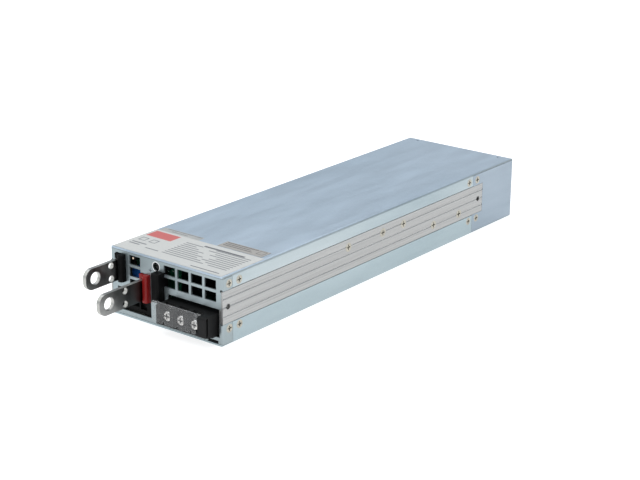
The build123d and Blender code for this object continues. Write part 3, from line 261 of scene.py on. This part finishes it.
def ruled(look, surface, ink, fields):
    """Print plain fields: left, right, near and far limits, in millimetres behind the front."""
    for x0, x1, y0, y1 in fields:
        surface = look.mix(look.field(x0, x1, FRONT + y0, FRONT + y1), surface, ink)
    return surface


def outline(x0, x1, y0, y1, wide):
    """Four thin fields round a rectangle."""
    across = [(x0, x1, y0, y0 + wide), (x0, x1, y1 - wide, y1)]
    along = [(x0, x0 + wide, y0, y1), (x1 - wide, x1, y0, y1)]
    return across + along


def panel_marks(look, surface, marks):
    """Print plain bars on the front face: left, right, low and high limits."""
    for x0, x1, z0, z1 in marks:
        ink = look.math("MULTIPLY", look.inside("X", x0, x1), look.inside("Z", z0, z1))
        ink = look.math("MULTIPLY", ink, look.inside("Y", *PANEL_SKIN))
        surface = look.mix(ink, surface, PANEL_PRINT)
    return surface


def ringed(look, surface, middle, radii):
    """Print a ring round a line along Y."""
    radius = look.from_axis(*middle)
    inner, outer = radii
    inside = look.math("LESS_THAN", radius, outer * MM)
    outside = look.math("GREATER_THAN", radius, inner * MM)
    return look.mix(look.math("MULTIPLY", inside, outside), surface, RING_PRINT)


def sheet_metal(name, shade, polish=0.0, prints=(), lip=None, marks=(), ring=False):
    """Zinc-plated steel: satin, faint clouds, fine pitted grain and a few rubbed streaks; its colours are
    scaled by a shade that paints the light on each part.
    """
    look = Look(name, metallic=0.72, rough=0.4)
    clouds = look.noise(9.0, 3.0, (1.0, 0.6, 1.0))
    grain = look.noise(2600.0, 2.0)
    base = look.blend(clouds, tinted(ZINC_DARK, shade), tinted(ZINC, shade), 0.15)
    surface = look.mix(look.span(grain, 0.4, 0.6, 0.0, 0.35), base, tinted(ZINC_LIGHT, shade))
    surface = panel_marks(look, surface, marks)
    for ink, fields in prints:
        surface = ruled(look, surface, ink, fields)
    # Painted light: the folded side faces take their own tint, for how light falls on a side.
    if lip:
        folded = look.math("GREATER_THAN", look.math("ABSOLUTE", look.axis("X")), FOLD * MM)
        lip_surface = look.blend(clouds, tinted(ZINC_DARK, lip), tinted(ZINC_LIGHT, lip), 0.15)
        surface = look.mix(folded, surface, lip_surface)
    if ring:
        surface = ringed(look, surface, TRIMMER, TRIMMER_RING)
    look.color(surface)
    look.rough(look.noise(160.0, 5.0, (1, 0.15, 1)), 0.36 - polish, 0.5 - polish)
    look.bump(grain, 0.00002, 0.5)
    return look


def extrusion_metal():
    """Extruded aluminium with die lines along its length, and a painted highlight in its grooves."""
    look = Look("extrusion", metallic=0.8, rough=0.4)
    lines = look.noise(900.0, 2.0, (1.0, 0.012, 1.0))
    base = look.blend(lines, (0.355, 0.355, 0.35), (0.48, 0.48, 0.47))
    open_share = look.span(look.openness(1.5), *GROOVE, 0, 1)
    # Painted highlight: closed grooves are painted pale.
    look.color(look.mix(open_share, (0.86, 0.86, 0.85), base))
    look.rough(lines, 0.34, 0.5)
    look.bump(lines, 0.00003, 0.6)
    return look


def bar_painted_light(look, surface, light):
    """Paint shade on the right-hand bar towards the panel, and paint a highlight on the bars' cut edges."""
    right = look.math("GREATER_THAN", look.axis("X"), BETWEEN_BARS * MM)
    painted_shade = look.span(look.axis("Y"), PAINTED_SHADE_NEAR * MM, PAINTED_SHADE_FAR * MM, 0, PAINTED_SHADE_SHARE, True)
    # Painted shade: the right-hand bar goes dark towards the panel.
    surface = look.mix(look.math("MULTIPLY", right, painted_shade), surface, (0.03, 0.028, 0.027))
    # Painted highlight: faces across the bar's thickness take the light tin colour.
    painted_highlight_edge = look.math("LESS_THAN", look.facing("X"), EDGE_FACING)
    return look.mix(painted_highlight_edge, surface, tinted(light, (0.95, 0.95, 0.92)))


def plated(name, dark, light, rough, crevice, scale=700.0, bar=False):
    """Plated metal with tumbled marks, and painted shade where something stands within a distance in
    millimetres.
    """
    look = Look(name, metallic=1.0, rough=rough)
    marks = look.noise(scale, 4.0)
    open_share = look.span(look.openness(crevice, not bar), *CREVICE, 0, 1)
    # Painted shade: closed crevices go nearly black.
    surface = look.mix(open_share, (0.03, 0.03, 0.03), look.blend(marks, dark, light, 0.15))
    if bar:
        surface = bar_painted_light(look, surface, light)
    look.color(surface)
    look.rough(marks, rough * 0.8, rough * 1.4)
    look.bump(marks, 0.00002, 0.4)
    return look


def moulded(name, dark, light, rough, grain=1800.0, depth=0.00002, shine=0.25):
    """Injection-moulded plastic with a spark-eroded grain."""
    look = Look(name, rough=rough, Specular_IOR_Level=shine)
    spots = look.noise(grain, 2.0)
    look.color(look.blend(look.noise(60.0, 3.0), dark, light))
    look.rough(spots, rough * 0.85, rough * 1.15)
    look.bump(spots, depth, 0.6)
    return look


def clear_cover():
    """Clear moulded cover: a grey veil with a painted highlight on its edges, and faint flow marks."""
    look = Look("clear_cover", rough=0.1, Alpha=0.13)
    flow = look.noise(55.0, 2.0)
    veil = look.blend(flow, (0.38, 0.38, 0.38), (0.46, 0.46, 0.46))
    painted_highlight_edge = look.math("LESS_THAN", look.facing("Y"), EDGE_FACING)
    # Painted highlight: faces that do not look along Y are painted near white.
    look.color(look.mix(painted_highlight_edge, veil, (0.95, 0.96, 0.97)))
    look.bump(flow, 0.00002, 0.2)
    return look


def board():
    """Green solder mask over copper tracks, with tinned pads."""
    look = Look("solder_mask", rough=0.3, Coat_Weight=0.3)
    bands = look.math("PINGPONG", look.noise(90.0, 1.0), TRACK_SPACING)
    tracks = look.math("LESS_THAN", bands, TRACK_WIDTH)
    pads = look.math("LESS_THAN", look.cells(330.0), PAD_SIZE)
    green = look.mix(tracks, (0.012, 0.10, 0.055), (0.03, 0.19, 0.09))
    look.color(look.mix(pads, green, (0.62, 0.63, 0.60)))
    look.bump(tracks, 0.00003, 0.5)
    return look


def film(name, rough, scale, dark, light, prints):
    """Fibrous film with plain fields printed on it."""
    look = Look(name, rough=rough)
    fibre = look.noise(scale, 3.0)
    surface = look.blend(fibre, dark, light)
    for ink, fields in prints:
        surface = ruled(look, surface, ink, fields)
    look.color(surface)
    look.bump(fibre, 0.00001, 0.3)
    return look


def label_film():
    """Pale film with plain fields, bars and rules, no lettering."""
    bold = [(1.0, 31.0, 31.4, 33.2), (16.0, ROW_RIGHT, 3.0, 3.9)]
    lines = [(-38.0, -27.0, 13.0, 14.2), (-38.0, -30.0, 10.4, 11.6), (-24.0, -14.0, 9.0, 10.0)]
    lines += outline(-37.5, -32.5, 17.5, 22.5, 0.7) + outline(-29.5, -24.5, 17.5, 22.5, 0.7)
    for row, (left, right) in enumerate(LABEL_ROWS):
        near = ROW_FIRST - ROW_STEP * row
        lines.append((ROW_LEFT, ROW_LEFT + left, near, near + ROW_TALL))
        lines.append((ROW_RIGHT - right, ROW_RIGHT, near, near + ROW_TALL))
    red = (RED_FIELD, [(-39.0, -20.0, 26.0, 35.5)])
    prints = (red, (tinted(PRINT, (0.7, 0.7, 0.7)), bold), (PRINT, lines))
    return film("label_film", 0.42, 700.0, FILM, tinted(FILM, (1.08, 1.08, 1.07)), prints)


def sticker_film():
    """Grey-beige sticker with dark bars."""
    bars = [(7.0, right, near, near + ROW_TALL) for near, right in ((45.4, 30.0), (43.2, 26.0), (41.0, 28.5))]
    prints = [((0.10, 0.095, 0.09), bars + outline(31.5, 36.5, 41.0, 46.3, 0.5))]
    return film("sticker_film", 0.45, 800.0, (0.315, 0.30, 0.28), (0.37, 0.35, 0.325), prints)


def wound(name, dark, light):
    """Enamelled wire laid side by side, with painted shade in the grooves between turns."""
    look = Look(name, metallic=0.55, rough=0.28)
    turns = look.node("ShaderNodeTexWave", wave_type="BANDS", bands_direction="DIAGONAL")
    turns.inputs["Scale"].default_value = 420.0
    turns.inputs["Distortion"].default_value = 0.6
    look.link(look.place, turns.inputs["Vector"])
    # Painted shade and highlight: dark in the grooves between turns, pale on their crowns.
    look.color(look.mix(turns.outputs["Fac"], dark, light))
    look.bump(turns.outputs["Fac"], 0.0003, 0.8)
    return look


def dipped():
    """Dipped discs: the left one blue, the right one dark green."""
    look = Look("dipped_resin", rough=0.22, Specular_IOR_Level=0.3)
    runs = look.noise(60.0, 3.0)
    blue = look.blend(runs, (0.01, 0.08, 0.34), (0.02, 0.13, 0.44))
    green = look.blend(runs, (0.006, 0.018, 0.012), (0.012, 0.03, 0.02))
    right = look.math("GREATER_THAN", look.axis("X"), BETWEEN_DISCS * MM)
    look.color(look.mix(right, blue, green))
    look.bump(look.noise(300.0, 2.0), 0.0001, 0.6)
    return look


def cans():
    """Black sleeves; only the tall bulk cans reach up to a bare aluminium top."""
    look = Look("can_sleeve", rough=0.3)
    sleeve = look.blend(look.noise(120.0, 3.0), (0.012, 0.014, 0.02), (0.02, 0.023, 0.032))
    bare = look.math("GREATER_THAN", look.axis("Z"), CAN_TOPS * MM)
    look.color(look.mix(bare, sleeve, (0.62, 0.63, 0.64)))
    look.link(bare, look.shader.inputs["Metallic"])
    return look


def led_lens():
    """Clear smoky lens with a small lit chip in its middle."""
    low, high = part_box("status_led")
    x, z = ((low[axis] + high[axis]) / 2 / MM for axis in (0, 2))
    look = Look("led_lens", rough=0.2, Emission_Strength=0.9)
    lit, dark = LED_CHIP
    chip = look.span(look.from_axis(x, z), lit * MM, dark * MM, 1, 0, True)
    look.color(look.mix(chip, (0.035, 0.033, 0.03), (0.95, 0.86, 0.74)))
    look.link(look.mix(chip, (0.0, 0.0, 0.0), (1.0, 0.82, 0.62)), look.shader.inputs["Emission Color"])
    look.bump(look.noise(400.0, 2.0), 0.00002, 0.3)
    return look


def fuse_glass():
    look = Look("fuse_glass", (0.85, 0.88, 0.88), rough=0.05, Transmission_Weight=0.9)
    look.bump(look.noise(200.0), 0.00002, 0.3)
    return look


def dress_case():
    strip = (FILM, [(-39.5, -8.5, 36.0, 43.2)])
    lines = (PRINT, [(-36.5, -9.5, 41.9, 42.5), (-31.0, -19.0, 39.6, 40.1)])
    # The shades are painted light on one zinc: lighter on the top cover, and darker on the bottom chassis,
    # the rear shell and the front panel.
    top = sheet_metal("zinc_top", (1.10, 1.105, 1.11), prints=(strip, lines), lip=(1.02, 1.01, 0.93))
    top.give("top_cover")
    sheet_metal("zinc_bottom", (0.97, 0.99, 0.92)).give("bottom_chassis")
    sheet_metal("zinc_rear", (0.80, 0.81, 0.82)).give("rear_shell")
    plus = [(-12.6, -10.2, 32.6, 33.0), (-11.6, -11.2, 31.6, 34.0)]
    sheet_metal("zinc_panel", (0.80, 0.79, 0.72), 0.1, marks=plus, ring=True).give("front_panel")
    extrusion_metal().give("heatsink_left", "heatsink_right")
    label_film().give("top_label")
    sticker_film().give("small_label")
    yellow = plated("yellow_zinc", (0.37, 0.35, 0.295), (0.52, 0.50, 0.435), 0.36, 0.6)
    yellow.give("case_screws", "heatsink_screws", "fan_screws")


def dress_front():
    tinned = plated("tinned_copper", (0.34, 0.34, 0.335), (0.45, 0.45, 0.44), 0.34, 5.0, 90.0, True)
    tinned.give("busbar_negative", "busbar_positive")
    moulded("red_moulding", (0.24, 0.006, 0.006), (0.30, 0.010, 0.009), 0.3).give("bushing_positive")
    black = moulded("black_moulding", (0.003, 0.0032, 0.0034), (0.007, 0.007, 0.0072), 0.5, shine=0.07)
    black.give("bushing_negative", "divider_wall", "signal_connector", "fan_frame_left", "fan_frame_right")
    block = moulded("block_moulding", (0.010, 0.0103, 0.0106), (0.016, 0.0163, 0.0166), 0.5, shine=0.1)
    block.give("terminal_block")
    clear_cover().give("terminal_cover")
    moulded("trimmer_case", (0.010, 0.012, 0.014), (0.016, 0.018, 0.020), 0.35).give("trimmer_body")
    moulded("trimmer_rotor", (0.020, 0.021, 0.022), (0.05, 0.05, 0.05), 0.3).give("trimmer_rotor")
    led_lens().give("status_led")
    dipped().give("disc_capacitors")


def dress_inside():
    nickel = plated("nickel", (0.50, 0.49, 0.47), (0.68, 0.67, 0.65), 0.24, 1.6)
    nickel.give("terminal_screws", "terminal_clamps", "terminal_contacts", "signal_pins", "board_standoffs",
                "board_screws", "clamp_bars_left", "clamp_bars_right")
    fans = moulded("fan_plastic", (0.022, 0.022, 0.023), (0.034, 0.034, 0.035), 0.34)
    fans.give("fan_rotor_left", "fan_rotor_right")
    board().give("main_board", "upright_board")
    moulded("insulation", (0.62, 0.60, 0.52), (0.68, 0.66, 0.58), 0.5).give("insulation_sheet")
    ferrite = moulded("ferrite", (0.030, 0.030, 0.032), (0.05, 0.05, 0.052), 0.6, 900.0, 0.00005)
    ferrite.give("line_choke_cores", "boost_choke_core", "transformer_core", "output_chokes",
                 "resonant_choke")
    copper = wound("copper_winding", (0.28, 0.09, 0.03), (0.62, 0.27, 0.10))
    copper.give("line_choke_windings", "boost_choke_winding")
    tape = moulded("yellow_tape", (0.62, 0.44, 0.04), (0.70, 0.52, 0.06), 0.3)
    tape.give("transformer_winding", "film_capacitors")
    cans().give("bulk_capacitors", "output_capacitors")
    epoxy = moulded("epoxy", (0.03, 0.03, 0.032), (0.045, 0.045, 0.048), 0.55)
    epoxy.give("bridge_rectifier", "transistors_left", "transistors_right", "inrush_relay")
    fuse_glass().give("fuse")


def make_floor():
    """White floor, a little under the part."""
    mesh = bpy.data.meshes.new("floor")
    corners = [(x * FLOOR_HALF, y * FLOOR_HALF, -FLOOR_DROP) for x, y in ((-1, -1), (1, -1), (1, 1), (-1, 1))]
    mesh.from_pydata(corners, [], [(0, 1, 2, 3)])
    floor = bpy.data.objects.new("floor", mesh)
    bpy.context.scene.collection.objects.link(floor)
    look = Look("floor_paper", (0.5, 0.5, 0.5), rough=0.9, Emission_Color=(1, 1, 1, 1), Emission_Strength=0.8)
    mesh.materials.append(look.mat)


def make_backdrop():
    """White to the camera, pale blue to the part."""
    world = bpy.data.worlds.new("studio")
    bpy.context.scene.world = world
    world.use_nodes = True
    tree = world.node_tree
    tree.nodes.clear()
    add = tree.nodes.new
    out, paths, choose = add("ShaderNodeOutputWorld"), add("ShaderNodeLightPath"), add("ShaderNodeMixShader")
    seen, unseen = add("ShaderNodeBackground"), add("ShaderNodeBackground")
    seen.inputs["Color"].default_value = (1, 1, 1, 1)
    unseen.inputs["Color"].default_value = (0.86, 0.93, 1.0, 1)
    unseen.inputs["Strength"].default_value = 0.5
    tree.links.new(paths.outputs["Is Camera Ray"], choose.inputs["Fac"])
    tree.links.new(unseen.outputs["Background"], choose.inputs[1])
    tree.links.new(seen.outputs["Background"], choose.inputs[2])
    tree.links.new(choose.outputs["Shader"], out.inputs["Surface"])


def area_light(name, place, size, power, color):
    """Soft light that looks at the part's middle."""
    data = bpy.data.lights.new(name, "AREA")
    data.shape = "RECTANGLE"
    data.size, data.size_y = size
    data.energy = power
    data.color = color
    lamp = bpy.data.objects.new(name, data)
    lamp.location = place
    lamp.rotation_euler = (-Vector(place)).to_track_quat("-Z", "Y").to_euler()
    bpy.context.scene.collection.objects.link(lamp)


def make_lights():
    area_light("softbox_top", (-0.2, 0.1, 1.3), (1.6, 1.6), 17.0, (0.97, 0.98, 1.0))
    area_light("softbox_left", (-1.2, -0.9, 0.8), (1.0, 1.0), 4.2, (1.0, 0.99, 0.97))
    area_light("softbox_right", (1.3, -0.5, 0.7), (1.0, 1.2), 3.0, (1.0, 0.99, 0.97))


view = bpy.context.scene.view_settings
view.view_transform = "Standard"

make_camera()
make_floor()
make_backdrop()
make_lights()
dress_case()
dress_front()
dress_inside()
